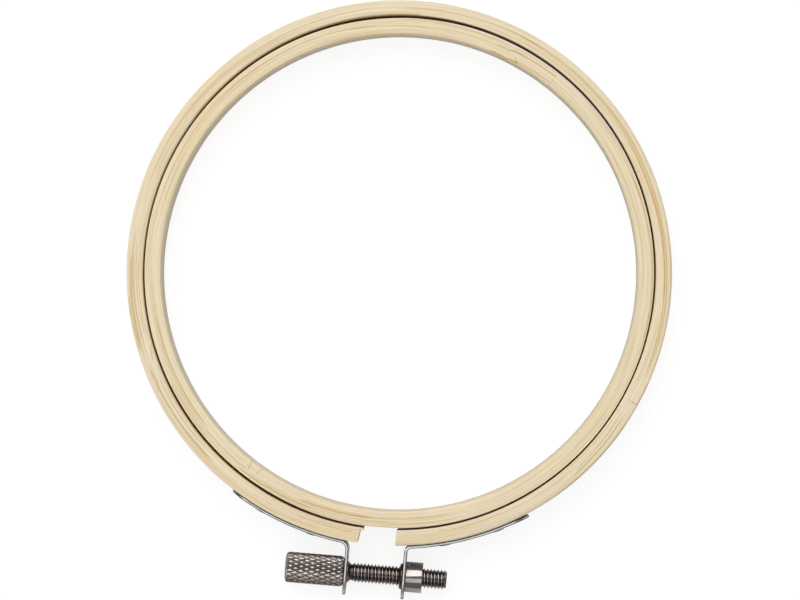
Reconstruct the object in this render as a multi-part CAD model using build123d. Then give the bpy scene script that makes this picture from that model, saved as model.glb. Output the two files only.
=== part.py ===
from build123d import *
from math import asin, cos, degrees, pi, radians, sin, tan
import os

# An embroidery hoop: a closed inner ring, a split outer ring round it, and a screw clamp that
# draws the outer ring tight. All lengths are in millimetres and angles in degrees.
# The origin is the centre of the hoop's opening at mid height and +Z is up. The split is at -Y,
# and the clamp screw lies along X with its knurled head towards -X.

# Rings of bent bamboo strip
opening_radius = 47.5
inner_ring_wall = 3.3
cloth_clearance = 0.45
outer_ring_wall = 3.15
ring_height = 9.5
edge_radius = 0.5
gap_edge_chamfer = 0.2
split_width = 7.4
left_end_lean = 7.6
right_end_lean = -1.3

# Clamp straps, each bent from a strip of sheet metal with half-round ends
strap_thickness = 0.6
strap_width = 8.0
strap_seat_gap = 0.04
strap_reach_angle = 32.8
ear_spacing = 11.1
ear_reach = 10.7
left_bend_radius = 1.4
right_bend_radius = 0.9

# Tacks that hold the straps on the outer ring
near_tack_angle = 14.0
far_tack_angle = 25.5
tack_shank_diameter = 1.2
tack_depth = 2.0
tack_point_length = 0.7
tack_head_diameter = 2.6
tack_head_height = 0.35
tack_clearance = 0.03

# Clamp screw: knurled head, neck in the left ear, threaded shank drawn plain at its crests
screw_offset = 6.1
screw_length = 32.4
head_length = 11.8
head_diameter = 6.2
head_end_round = 0.8
shoulder_length = 1.0
shoulder_diameter = 5.0
knurl_diamonds = 20
knurl_pitch = 2.2
knurl_depth = 0.25
neck_diameter = 4.4
neck_stand_out = 0.1
neck_clearance = 0.08
bearing_play = 0.02
relief_diameter = 3.2
relief_length = 0.3
thread_diameter = 3.9
tip_chamfer = 0.45

# Clamp nut: a round bush on the outside of the right ear, riveted over on the inside
nut_length = 3.4
nut_diameter = 6.1
nut_chamfer = 0.25
collar_diameter = 4.6
flange_thickness = 0.6
flange_diameter = 5.3
thread_clearance = 0.05
collar_clearance = 0.02

# How far a cutting shape runs past what it cuts
overrun = 2.0

# Radii and places that follow from the sizes above
inner_ring_radius = opening_radius + inner_ring_wall
split_ring_bore = inner_ring_radius + cloth_clearance
outer_ring_radius = split_ring_bore + outer_ring_wall
strap_inner_radius = outer_ring_radius + strap_seat_gap
strap_outer_radius = strap_inner_radius + strap_thickness
strap_end_radius = strap_width / 2
ear_inner = ear_spacing / 2
ear_outer = ear_inner + strap_thickness
ear_tip = -(outer_ring_radius + ear_reach)
screw_y = -(outer_ring_radius + screw_offset)
head_inner_end = -(ear_outer + bearing_play)
head_outer_end = head_inner_end - head_length
screw_tip = head_outer_end + screw_length
tack_angles = (near_tack_angle, far_tack_angle)


# A point seen from above, by its radius and its angle from -Y towards +X
def at_angle(radius, angle):
    return (radius * sin(radians(angle)), -radius * cos(radians(angle)))


# A plane square to the rim, with z pointing outwards and x along the rim away from the split
def rim_plane(radius, angle):
    x, y = at_angle(radius, angle)
    along = (cos(radians(angle)), sin(radians(angle)), 0)
    outwards = (sin(radians(angle)), -cos(radians(angle)), 0)
    return Plane(origin=(x, y, 0), x_dir=along, z_dir=outwards)


# A solid turned about the screw's axis, from its outline of (x, radius) points
def turned(outline):
    profile = make_face(Polyline(*outline, close=True))
    return Pos(0, screw_y, 0) * revolve(profile, axis=Axis.X)


# Rings

# A strip's section as (radius, height) points. Its free corners are eased by two flats along an
# arc, and the two that face the other ring, on gap_side, by one small flat each
def strip_section(inner_radius, wall, gap_side):
    section = []
    for corner, (side, level) in enumerate(((1, 1), (-1, 1), (-1, -1), (1, -1))):
        ease = gap_edge_chamfer if side == gap_side else edge_radius
        turns = (0, 90) if side == gap_side else (0, 45, 90)
        centre_radius = inner_radius + wall / 2 + side * (wall / 2 - ease)
        centre_height = level * (ring_height / 2 - ease)
        for turn in turns:
            direction = radians(90 * corner + turn)
            radius = centre_radius + ease * cos(direction)
            section.append((radius, centre_height + ease * sin(direction)))
    return section


def ring(inner_radius, wall, gap_side):
    section = make_face(Polyline(*strip_section(inner_radius, wall, gap_side), close=True))
    return revolve(Plane.XZ * section, axis=Axis.Z)


# The two cut ends lean away from the radius by their own angles
def split_cutter():
    middle = -(split_ring_bore + outer_ring_wall / 2)
    inside = -(split_ring_bore - overrun)
    outside = -(outer_ring_radius + overrun)

    def left_face(y):
        return (-split_width / 2 + (y - middle) * tan(radians(left_end_lean)), y)

    def right_face(y):
        return (split_width / 2 - (y - middle) * tan(radians(right_end_lean)), y)

    corners = [left_face(inside), left_face(outside), right_face(outside), right_face(inside)]
    return extrude(make_face(Polyline(*corners, close=True)), ring_height / 2 + overrun, both=True)


def outer_ring():
    body = ring(split_ring_bore, outer_ring_wall, -1) - split_cutter()
    hole_depth = strap_seat_gap + tack_depth + tack_clearance
    for angle in tack_angles:
        for side in (-1, 1):
            hole = Cylinder(tack_shank_diameter / 2 + tack_clearance, 2 * hole_depth)
            body -= rim_plane(strap_inner_radius, side * angle) * hole
    return body


# Straps

def bend_arc(start, end, centre):
    start, end, centre = Vector(*start), Vector(*end), Vector(*centre)
    radius = (start - centre).length
    middle = centre + (start + end - centre * 2).normalized() * radius
    return ThreePointArc(start, middle, end)


def rim_arc(radius, first_angle, last_angle):
    angles = (first_angle, (first_angle + last_angle) / 2, last_angle)
    return ThreePointArc(*[at_angle(radius, angle) for angle in angles])


# The right-hand strap seen from above: a leg along the rim, a bend, and an ear square to the screw
def strap_outline(bend_radius):
    bend_x = ear_outer + bend_radius
    bend_reach = strap_outer_radius + bend_radius
    bend_angle = degrees(asin(bend_x / bend_reach))
    bend_centre = at_angle(bend_reach, bend_angle)
    bend_y = bend_centre[1]
    far_angle = strap_reach_angle + degrees(overrun / strap_outer_radius)
    edges = [
        rim_arc(strap_inner_radius, far_angle, bend_angle),
        bend_arc(at_angle(strap_inner_radius, bend_angle), (ear_inner, bend_y), bend_centre),
        Line((ear_inner, bend_y), (ear_inner, ear_tip)),
        Line((ear_inner, ear_tip), (ear_outer, ear_tip)),
        Line((ear_outer, ear_tip), (ear_outer, bend_y)),
        bend_arc((ear_outer, bend_y), at_angle(strap_outer_radius, bend_angle), bend_centre),
        rim_arc(strap_outer_radius, bend_angle, far_angle),
        Line(at_angle(strap_outer_radius, far_angle), at_angle(strap_inner_radius, far_angle)),
    ]
    return make_face(edges)


# What is cut off a strap's end to leave it half round, where the plane's x points off the end
def end_trim(plane):
    sheet_depth = 2 * overrun
    width = strap_width + 2 * overrun
    length = strap_end_radius + 2 * overrun
    block = Box(length, width, sheet_depth, align=(Align.MIN, Align.CENTER, Align.CENTER))
    return plane * (block - Cylinder(strap_end_radius, sheet_depth))


def strap(bend_radius, ear_hole_diameter):
    body = extrude(strap_outline(bend_radius), strap_width / 2, both=True)
    far_centre_angle = strap_reach_angle - degrees(strap_end_radius / strap_outer_radius)
    body -= end_trim(rim_plane(strap_outer_radius, far_centre_angle))
    ear_middle = (ear_inner + ear_outer) / 2
    ear_end_centre = (ear_middle, ear_tip + strap_end_radius, 0)
    body -= end_trim(Plane(origin=ear_end_centre, x_dir=(0, -1, 0), z_dir=(1, 0, 0)))
    ear_hole = Cylinder(ear_hole_diameter / 2, 2 * overrun)
    body -= Plane(origin=(ear_middle, screw_y, 0), z_dir=(1, 0, 0)) * ear_hole
    for angle in tack_angles:
        hole = Cylinder(tack_shank_diameter / 2 + tack_clearance, 2 * overrun)
        body -= rim_plane(strap_outer_radius, angle) * hole
    return body


# Tacks

# A tack with a low tapered head that rests on z = 0 and a pointed shank below it
def tack():
    shank_radius = tack_shank_diameter / 2
    head_radius = tack_head_diameter / 2
    point = -(strap_thickness + strap_seat_gap + tack_depth)
    outline = [
        (0, tack_head_height),
        (shank_radius, tack_head_height),
        (head_radius, 0),
        (shank_radius, 0),
        (shank_radius, point + tack_point_length),
        (0, point),
    ]
    return revolve(Plane.XZ * make_face(Polyline(*outline, close=True)), axis=Axis.Z)


# Screw

# A band of triangles between two rings of corners
def band(first, second):
    faces = []
    for j in range(len(first)):
        a, b = first[j - 1], first[j]
        c, d = second[j - 1], second[j]
        faces += [(a, b, c), (b, d, c)]
    return faces


# The knurl: rows of diamonds, each a low pyramid of four facets between crossing V grooves
def knurl_facets(lines, crests):
    facets = []
    corners = len(lines[0])
    for k, line in enumerate(lines):
        for j in range(corners):
            if (j + k) % 2 != crests:
                continue
            for neighbour in (k - 1, k + 1):
                if 0 <= neighbour < len(lines):
                    tip = lines[neighbour][j]
                    facets.append((line[j], line[j - 1], tip))
                    facets.append((line[j], line[(j + 1) % corners], tip))
    return facets


def knurled_head():
    corners = 2 * knurl_diamonds
    crest = head_diameter / 2
    groove = crest - knurl_depth
    first = head_outer_end + head_end_round
    last = head_inner_end - shoulder_length
    rows = round(2 * (last - first) / knurl_pitch)

    def corner_ring(x, radius_at):
        turns = [2 * pi * j / corners for j in range(corners)]
        return [(x, radius_at(j) * cos(turn), radius_at(j) * sin(turn))
                for j, turn in enumerate(turns)]

    def round_ring(turn):
        x = head_outer_end + head_end_round * (1 - cos(radians(turn)))
        radius = crest - head_end_round * (1 - sin(radians(turn)))
        return corner_ring(x, lambda j: radius)

    lines = []
    for k in range(rows + 1):
        x = first + (last - first) * k / rows
        lines.append(corner_ring(x, lambda j: crest if (j + k) % 2 else groove))
    outer_rings = [round_ring(0), round_ring(45), lines[0]]
    shoulder_rings = [lines[-1], corner_ring(head_inner_end, lambda j: shoulder_diameter / 2)]
    facets = knurl_facets(lines, 1)
    for rings in (outer_rings, shoulder_rings):
        for near, far in zip(rings, rings[1:]):
            facets += band(near, far)
    outlines = facets + [outer_rings[0], shoulder_rings[-1]]
    faces = [Face(Wire.make_polygon([Vector(*p) for p in outline])) for outline in outlines]
    return Pos(0, screw_y, 0) * Solid(Shell(faces))


def clamp_screw():
    neck_radius = neck_diameter / 2
    relief_radius = relief_diameter / 2
    thread_radius = thread_diameter / 2
    neck_end = -ear_inner + neck_stand_out
    relief_start = neck_end + neck_radius - relief_radius
    relief_end = relief_start + relief_length
    outline = [
        (head_inner_end - shoulder_length, 0),
        (head_inner_end - shoulder_length, neck_radius),
        (neck_end, neck_radius),
        (relief_start, relief_radius),
        (relief_end, relief_radius),
        (relief_end + thread_radius - relief_radius, thread_radius),
        (screw_tip - tip_chamfer, thread_radius),
        (screw_tip, thread_radius - tip_chamfer),
        (screw_tip, 0),
    ]
    return knurled_head() + turned(outline)


# Nut

def clamp_nut():
    bore = thread_diameter / 2 + thread_clearance
    collar = collar_diameter / 2
    flange = flange_diameter / 2
    outside = nut_diameter / 2
    nut_end = ear_outer + nut_length
    rolled_edge = flange_thickness / 2
    outline = [
        (ear_inner - flange_thickness, bore),
        (ear_inner - flange_thickness, flange - rolled_edge),
        (ear_inner - flange_thickness + rolled_edge, flange),
        (ear_inner, flange),
        (ear_inner, collar),
        (ear_outer, collar),
        (ear_outer, outside),
        (nut_end - nut_chamfer, outside),
        (nut_end, outside - nut_chamfer),
        (nut_end, bore),
    ]
    return turned(outline)


def build():
    left_hole = neck_diameter + 2 * neck_clearance
    right_hole = collar_diameter + 2 * collar_clearance
    pieces = {
        "inner_ring": ring(opening_radius, inner_ring_wall, 1),
        "outer_ring": outer_ring(),
        "left_strap": mirror(strap(left_bend_radius, left_hole), about=Plane.YZ),
        "right_strap": strap(right_bend_radius, right_hole),
        "clamp_screw": clamp_screw(),
        "clamp_nut": clamp_nut(),
    }
    for side, hand in (("left", -1), ("right", 1)):
        for place, angle in (("near", near_tack_angle), ("far", far_tack_angle)):
            pieces[f"{side}_{place}_tack"] = rim_plane(strap_outer_radius, hand * angle) * tack()
    return pieces


os.makedirs("parts", exist_ok=True)
for name, solid in build().items():
    export_step(solid, f"parts/{name}.step")
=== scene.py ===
import bmesh
import bpy
import math
import re
from contextlib import contextmanager
from mathutils import Matrix, Vector


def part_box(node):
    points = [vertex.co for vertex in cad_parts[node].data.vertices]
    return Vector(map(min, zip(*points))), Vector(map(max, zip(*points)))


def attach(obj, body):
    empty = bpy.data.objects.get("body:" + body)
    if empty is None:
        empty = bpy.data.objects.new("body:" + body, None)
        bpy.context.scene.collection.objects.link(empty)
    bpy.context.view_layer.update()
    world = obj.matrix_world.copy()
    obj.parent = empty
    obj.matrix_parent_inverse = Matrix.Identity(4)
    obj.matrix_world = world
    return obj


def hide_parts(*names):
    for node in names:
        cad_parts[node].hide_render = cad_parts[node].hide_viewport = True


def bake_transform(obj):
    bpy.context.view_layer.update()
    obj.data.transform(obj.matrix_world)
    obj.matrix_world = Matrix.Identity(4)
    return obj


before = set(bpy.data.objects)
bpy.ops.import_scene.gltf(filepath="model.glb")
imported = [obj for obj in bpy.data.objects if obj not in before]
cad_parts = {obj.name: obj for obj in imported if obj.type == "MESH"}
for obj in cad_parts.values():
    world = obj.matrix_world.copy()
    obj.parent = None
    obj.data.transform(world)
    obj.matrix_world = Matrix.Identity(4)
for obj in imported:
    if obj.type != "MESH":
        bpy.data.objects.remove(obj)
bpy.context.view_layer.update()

# An embroidery hoop seen from above: two bamboo rings and a nickel-plated screw clamp, with the split and the
# clamp at -Y. Lengths are in millimetres times mm, and bare ones in the shaders' values in millimetres.
mm = 0.001
scene = bpy.context.scene
scene.view_settings.view_transform = "Standard"


# Helpers for node trees, which work in shader trees and in geometry trees alike

# Gives a node's inputs plain values, or links them to other nodes' sockets
def feed(node, inputs):
    for key, value in dict(inputs).items():
        if isinstance(value, bpy.types.NodeSocket):
            node.id_data.links.new(value, node.inputs[key])
        else:
            node.inputs[key].default_value = value
    return node


# The sockets among a node's inputs tell which tree it goes to, unless the tree is given
def addNode(kind, inputs=(), tree=None, **settings):
    inputs = dict(inputs)
    if not tree:
        tree = next(value.id_data for value in inputs.values() if isinstance(value, bpy.types.NodeSocket))
    node = tree.nodes.new(kind)
    for name, value in settings.items():
        setattr(node, name, value)
    return feed(node, inputs)


def calc(operation, *values, **settings):
    return addNode("ShaderNodeMath", enumerate(values), operation=operation, **settings).outputs[0]


# Joins two or more values by one operation, from the left
def chained(operation):
    def join(*values, **settings):
        total = values[0]
        for value in values[1:]:
            total = calc(operation, total, value, **settings)
        return total

    return join


plus, minus, times, over, least, greatest = (
    chained(operation) for operation in ("ADD", "SUBTRACT", "MULTIPLY", "DIVIDE", "MINIMUM", "MAXIMUM"))


def vector(x=0.0, y=0.0, z=0.0):
    return addNode("ShaderNodeCombineXYZ", {"X": x, "Y": y, "Z": z}).outputs[0]


def split(value):
    return addNode("ShaderNodeSeparateXYZ", {0: value}).outputs


# Output 0 is the vector, and output 1 the number
def vectorCalc(operation, *values, output=0):
    return addNode("ShaderNodeVectorMath", enumerate(values), operation=operation).outputs[output]


def scaleBy(value, factor):
    return addNode("ShaderNodeVectorMath", {0: value, "Scale": factor}, operation="SCALE").outputs[0]


# 1 between two limits and 0 outside them
def between(value, low, high):
    return times(calc("GREATER_THAN", value, low), calc("LESS_THAN", value, high))


# The direction from the Z axis, and the distance from it
def polar(parts):
    flat = vector(parts["X"], parts["Y"])
    return vectorCalc("NORMALIZE", flat), vectorCalc("LENGTH", flat, output=1)


def position(tree):
    return addNode("GeometryNodeInputPosition", tree=tree).outputs[0]


def objectPlace(tree):
    return addNode("ShaderNodeTexCoord", tree=tree).outputs["Object"]


def noise(place, seed, scale=1.0, detail=2.0, roughness=0.5):
    inputs = {"Vector": place, "W": seed, "Scale": scale, "Detail": detail, "Roughness": roughness}
    return addNode("ShaderNodeTexNoise", inputs, noise_dimensions="4D").outputs[0]


def remap(value, fromLow, fromHigh, toLow=0.0, toHigh=1.0, kind="LINEAR"):
    inputs = {"Value": value, "From Min": fromLow, "From Max": fromHigh, "To Min": toLow, "To Max": toHigh}
    return addNode("ShaderNodeMapRange", inputs, interpolation_type=kind).outputs[0]


def smoothRemap(*values):
    return remap(*values, kind="SMOOTHSTEP")


def mixColours(factor, first, second, kind="MIX"):
    node = addNode("ShaderNodeMix", {0: factor, 6: first, 7: second}, data_type="RGBA", blend_type=kind)
    return node.outputs[2]


# A tree with named inputs, given as name: (kind, default)
def newTree(name, inputs, treeKind="ShaderNodeTree"):
    tree = bpy.data.node_groups.new(name, treeKind)
    for socketName, (kind, default) in inputs.items():
        socket = tree.interface.new_socket(socketName, in_out="INPUT", socket_type="NodeSocket" + kind)
        if default is not None:
            socket.default_value = default
    return tree, tree.nodes.new("NodeGroupInput").outputs


# Ends a tree with named outputs
def finishTree(tree, outputs):
    for name, value in outputs.items():
        tree.interface.new_socket(name, in_out="OUTPUT", socket_type=value.bl_idname)
    feed(tree.nodes.new("NodeGroupOutput"), outputs)
    return tree


# A geometry tree for a piece, which takes its material
def newPieceTree(name, inputs):
    return newTree(name, inputs | {"Material": ("Material", None)}, "GeometryNodeTree")


# Ends a piece's tree with real geometry that has the material on
def finishPiece(tree, given, geometry):
    real = addNode("GeometryNodeRealizeInstances", {0: geometry}).outputs[0]
    painted = addNode("GeometryNodeSetMaterial", {"Geometry": real, "Material": given["Material"]})
    return finishTree(tree, {"Geometry": painted.outputs[0]})


# Sockets of one kind and default, for newTree
def sockets(kind, default, *names):
    return {name: (kind, default) for name in names}


def floats(*names):
    return sockets("Float", 0.0, *names)


def useGroup(group, inputs=(), tree=None):
    return addNode("ShaderNodeGroup", inputs, tree, node_tree=group).outputs


# Some values of a dictionary under the names of a tree's inputs: cornerRadius becomes Corner Radius
def titled(values, *keys):
    return {re.sub("([A-Z])", r" \1", key).title(): values[key] for key in keys}


# Helpers for meshes

def linkObject(name, data):
    piece = bpy.data.objects.new(name, data)
    scene.collection.objects.link(piece)
    return piece


# The plain mesh that an object's modifiers give; the modifiers are then removed
def settle(piece):
    depsgraph = bpy.context.evaluated_depsgraph_get()
    depsgraph.update()
    mesh = bpy.data.meshes.new_from_object(piece.evaluated_get(depsgraph), depsgraph=depsgraph)
    mesh.name = piece.name
    piece.modifiers.clear()
    piece.data = mesh
    return piece


# Runs a geometry tree with the given values, set by each socket's identifier
def grow(name, tree, values):
    piece = linkObject(name, bpy.data.meshes.new(name))
    modifier = piece.modifiers.new(name, "NODES")
    modifier.node_group = tree
    for socket in tree.interface.items_tree:
        if socket.in_out == "INPUT" and socket.name in values:
            modifier[socket.identifier] = values[socket.name]
    return settle(piece)


# Opens a mesh for editing, and writes it back at the end of the block
@contextmanager
def editing(mesh):
    work = bmesh.new()
    work.from_mesh(mesh)
    yield work
    work.to_mesh(mesh)
    work.free()


# Welds a mesh, closes its open ends and turns its faces outwards
def closeMesh(mesh, reach=0.0005 * mm):
    with editing(mesh) as work:
        bmesh.ops.remove_doubles(work, verts=work.verts, dist=reach)
        bmesh.ops.dissolve_degenerate(work, edges=work.edges, dist=reach)
        bmesh.ops.holes_fill(work, edges=[edge for edge in work.edges if edge.is_boundary], sides=0)
        bmesh.ops.recalc_face_normals(work, faces=work.faces)


# A surface turned about a line along X at height z = 0, from (x, radius) points; a radius of 0 is a pole
def turnedMesh(name, outline, axisY, steps, loop=False):
    mesh = bpy.data.meshes.new(name)
    with editing(mesh) as work:
        rows = []
        for x, radius in outline:
            turns = [math.tau * step / steps for step in range(steps if radius > 0 else 1)]
            rows.append([work.verts.new((x, axisY + radius * math.cos(turn), radius * math.sin(turn)))
                         for turn in turns])
        for near, far in zip(rows, rows[1:] + (rows[:1] if loop else [])):
            for step in range(steps):
                after = (step + 1) % steps
                corners = [near[step % len(near)], near[after % len(near)],
                           far[after % len(far)], far[step % len(far)]]
                face = list(dict.fromkeys(corners))
                if len(face) > 2:
                    work.faces.new(face)
        bmesh.ops.recalc_face_normals(work, faces=work.faces)
    return mesh


# Edges that bend by more degrees than these are bevelled, or stay sharp
sharpOver = {"bevel": 40, "strip": 40, "rounded": 32, "tack": 35, "screw": 28}


def smoothByAngle(mesh, degrees):
    mesh.shade_smooth()
    mesh.set_sharp_from_angle(angle=math.radians(degrees))


def roundEdges(piece, width, even=False):
    bevel = piece.modifiers.new("edgeRound", "BEVEL")
    bevel.width = width
    bevel.segments = 3
    bevel.limit_method = "ANGLE"
    bevel.angle_limit = math.radians(sharpOver["bevel"])
    if even:
        # the long thin faces of a flat sheet would pinch the roll to nothing
        bevel.loop_slide = False
        bevel.use_clamp_overlap = False
    settle(piece)
    smoothByAngle(piece.data, sharpOver["rounded"])


# Shader groups, and the shares and ranges that shape their patterns
patterns = {
    "fibreRoughness": 0.55, "lineCore": 0.85, "lineOpening": (0.0, 0.12), "lineClosing": (1.0, 0.85),
    "rollAcross": (0.12, 0.42), "rollUpright": (0.08, 0.25), "fineDetail": 3.0, "fineRoughness": 0.6,
    "broadScale": 420.0, "hollowBottom": (0.0, 0.6, 0.85, 0.0), "hollowTop": (0.55, 1.0),
}


def polarPlaceGroup():
    tree = newTree("polarPlace", {})[0]
    parts = split(objectPlace(tree))
    around, length = polar(parts)
    # degrees from the split at -Y towards +X, from 0 to 360
    turn = calc("ARCTAN2", parts["X"], times(parts["Y"], -1.0))
    angle = calc("MODULO", plus(calc("DEGREES", turn), 360.0), 360.0)
    return finishTree(tree, {"Around": around, "Radius": over(length, mm), "Height": over(parts["Z"], mm),
                             "Angle": angle})


# Long soft streaks that run round a ring, as fibres do in a bent strip
def fibreGroup():
    inputs = sockets("Vector", None, "Around") | floats("Radius", "Height", "Lengthwise", "Across", "Detail",
                                                        "Seed")
    tree, given = newTree("fibres", inputs)
    across = vector(z=times(given["Radius"], given["Across"]))
    place = vectorCalc("ADD", scaleBy(given["Around"], given["Lengthwise"]), across)
    level = calc("MULTIPLY_ADD", given["Height"], given["Across"], given["Seed"])
    value = noise(place, level, 1.0, given["Detail"], patterns["fibreRoughness"])
    return finishTree(tree, {"Value": value})


# One growth line in the strip, which drifts from one radius to another and fades at both ends. Its angles
# may run on past 360
def grainLineGroup():
    inputs = floats("Angle", "Radius", "Wave", "From", "Span", "Start Radius", "End Radius", "Width",
                    "Waviness", "Strength")
    tree, given = newTree("grainLine", inputs)
    past = plus(minus(given["Angle"], given["From"]), 360.0)
    share = over(calc("MODULO", past, 360.0), given["Span"])
    line = remap(share, 0.0, 1.0, given["Start Radius"], given["End Radius"])
    line = calc("MULTIPLY_ADD", given["Wave"], given["Waviness"], line)
    distance = calc("ABSOLUTE", minus(given["Radius"], line))
    core = smoothRemap(distance, 0.0, times(given["Width"], patterns["lineCore"]), 1.0, 0.0)
    opening, closing = (smoothRemap(share, *patterns[end]) for end in ("lineOpening", "lineClosing"))
    return finishTree(tree, {"Mask": times(core, opening, closing, given["Strength"])})


# The mark of a bamboo joint: a thin line across the strip between two radii, and a calm patch about it
def jointMarkGroup():
    inputs = floats("Angle", "Radius", "At", "Lean", "Inside", "Outside", "Width", "Calm")
    tree, given = newTree("jointMark", inputs)
    middle = times(plus(given["Inside"], given["Outside"]), 0.5)
    lean = times(minus(given["Radius"], middle), given["Lean"])
    away = calc("ABSOLUTE", minus(given["Angle"], given["At"], lean))
    core, calm = (smoothRemap(away, 0.0, given[reach], 1.0, 0.0) for reach in ("Width", "Calm"))
    within = between(given["Radius"], given["Inside"], given["Outside"])
    return finishTree(tree, {"Line": times(core, within), "Calm": calm})


# Where an edge has been rubbed: the bevelled normal differs from the plain one
def edgeWearGroup():
    tree, given = newTree("edgeWear", floats("Reach", "Contrast"))
    plain = addNode("ShaderNodeNewGeometry", tree=tree).outputs["Normal"]
    bevel = addNode("ShaderNodeBevel", {"Radius": given["Reach"]}, samples=4).outputs[0]
    same = vectorCalc("DOT_PRODUCT", plain, bevel, output=1)
    mask = times(minus(1.0, same), given["Contrast"], use_clamp=True)
    return finishTree(tree, {"Mask": mask})


# Where a strap's upper or lower edge rolls over to its faces, which look outwards on the leg and along X on
# the ear
def edgeRollGroup():
    inputs = sockets("Vector", None, "Around") | floats("Radius", "Ear From")
    tree, given = newTree("edgeRoll", inputs)
    normal = addNode("ShaderNodeNewGeometry", tree=tree).outputs["Normal"]
    parts = split(normal)
    outwards = vectorCalc("DOT_PRODUCT", normal, given["Around"], output=1)
    onEar = calc("GREATER_THAN", given["Radius"], given["Ear From"])
    across = calc("ABSOLUTE", remap(onEar, 0.0, 1.0, outwards, parts["X"]))
    rolled = smoothRemap(across, *patterns["rollAcross"])
    offFace = smoothRemap(calc("ABSOLUTE", parts["Z"]), *patterns["rollUpright"])
    return finishTree(tree, {"Mask": times(rolled, offFace)})


# Fine marks drawn out along one direction, as brushing, turning or rolling leaves them
def toolMarksGroup():
    inputs = sockets("Vector", None, "Scale", "Centre") | floats("Seed")
    tree, given = newTree("toolMarks", inputs)
    centred = vectorCalc("SUBTRACT", objectPlace(tree), given["Centre"])
    stretched = vectorCalc("MULTIPLY", centred, given["Scale"])
    fine = noise(stretched, given["Seed"], 1.0, patterns["fineDetail"], patterns["fineRoughness"])
    broad = noise(centred, given["Seed"], patterns["broadScale"])
    return finishTree(tree, {"Fine": fine, "Broad": broad})


# How deep a point lies between the bottom and the top of a groove cut round the screw's axis
def hollowShadeGroup():
    inputs = floats("Centre Y", "From", "To", "Bottom", "Top", "Rubbing")
    tree, given = newTree("hollowShade", inputs)
    parts = split(scaleBy(objectPlace(tree), 1 / mm))
    across = minus(parts["Y"], given["Centre Y"])
    radius = vectorCalc("LENGTH", vector(across, parts["Z"]), output=1)
    within = between(parts["X"], given["From"], given["To"])
    rise = remap(radius, given["Bottom"], given["Top"])
    bottom = smoothRemap(rise, *patterns["hollowBottom"])
    top = smoothRemap(rise, *patterns["hollowTop"], 0.0, given["Rubbing"])
    return finishTree(tree, {"Bottom": times(bottom, within), "Top": times(top, within)})


polarPlace = polarPlaceGroup()
fibres = fibreGroup()
grainLine = grainLineGroup()
jointMark = jointMarkGroup()
edgeWear = edgeWearGroup()
edgeRoll = edgeRollGroup()
toolMarks = toolMarksGroup()
hollowShade = hollowShadeGroup()
print("shader groups made")


# Bamboo

def newMaterial(name):
    material = bpy.data.materials.new(name)
    material.use_nodes = True
    return material, material.node_tree, material.node_tree.nodes["Principled BSDF"]


# A growth line is (from, to, start share, end share, width in mm, waviness in mm, strength): the angles are
# degrees from the split towards +X, and the shares go from 0 at the strip's inside to 1 at its outside.
# A joint mark is (at, lean, inside share, outside share, width in degrees, strength, calm in degrees).
innerBamboo = {
    "paleColour": (0.885, 0.755, 0.52, 1.0), "warmColour": (0.84, 0.66, 0.37, 1.0),
    "markColour": (0.4, 0.2, 0.09, 1.0), "edgeColour": (0.62, 0.56, 0.48, 1.0),
    "edgeShares": (0.1, 0.0), "gapShares": (0.9, 1.0), "seed": 3.0,
    "growthLines": [
        (76, 120, 0.93, 0.84, 0.34, 0.1, 0.75), (110, 138, 0.85, 0.78, 0.2, 0.1, 0.6),
        (88, 128, 0.37, 0.3, 0.4, 0.1, 0.32), (118, 147, 0.31, 0.27, 0.17, 0.1, 0.4),
        (145.6, 158.0, 0.74, 0.68, 0.3, 0.3, 0.8), (145.6, 157.0, 0.25, 0.2, 0.36, 0.3, 0.55),
        (146.5, 160.0, 0.92, 0.84, 0.18, 0.2, 0.4), (149, 158, 0.1, 0.13, 0.22, 0.3, 0.4),
        (154, 162, 0.74, 0.56, 0.24, 0.5, 0.85), (154.5, 163.0, 0.12, 0.08, 0.26, 0.5, 0.75),
        (158, 186, 0.86, 0.92, 0.36, 0.1, 0.45), (176, 198, 0.5, 0.62, 0.18, 0.1, 0.65),
        (188, 232, 0.62, 0.7, 0.2, 0.1, 0.75), (196, 238, 0.8, 0.78, 0.12, 0.1, 0.3),
        (154, 206, 0.12, 0.14, 0.36, 0.1, 0.28), (214, 278, 0.67, 0.74, 0.18, 0.1, 0.6),
        (226, 272, 0.1, 0.12, 0.3, 0.1, 0.22), (284, 315, 0.52, 0.46, 0.3, 0.15, 0.8),
        (291, 313, 0.6, 0.6, 0.14, 0.15, 0.5), (300, 316, 0.93, 0.91, 0.2, 0.1, 0.45),
        (313, 328, 0.62, 0.58, 0.22, 0.3, 0.55), (324, 346, 0.84, 0.76, 0.26, 0.6, 1.0),
        (327, 344, 0.7, 0.66, 0.14, 0.5, 0.5), (340, 359, 0.57, 0.47, 0.34, 0.2, 0.85),
        (341, 358, 0.44, 0.38, 0.16, 0.2, 0.65), (343, 365, 0.7, 0.64, 0.14, 0.1, 0.4),
        (353, 378, 0.49, 0.46, 0.42, 0.1, 0.42), (355, 380, 0.72, 0.76, 0.16, 0.1, 0.35),
    ],
    "jointMarks": [
        (326.9, 0.25, 0.0, 0.56, 0.2, 0.5, 3.0), (329.5, -0.25, 0.02, 0.56, 0.2, 0.45, 3.0),
        (146.1, 0.12, 0.02, 0.94, 0.2, 0.3, 1.5), (155.9, 0.8, 0.04, 0.4, 0.34, 0.45, 1.5),
    ],
}
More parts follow.
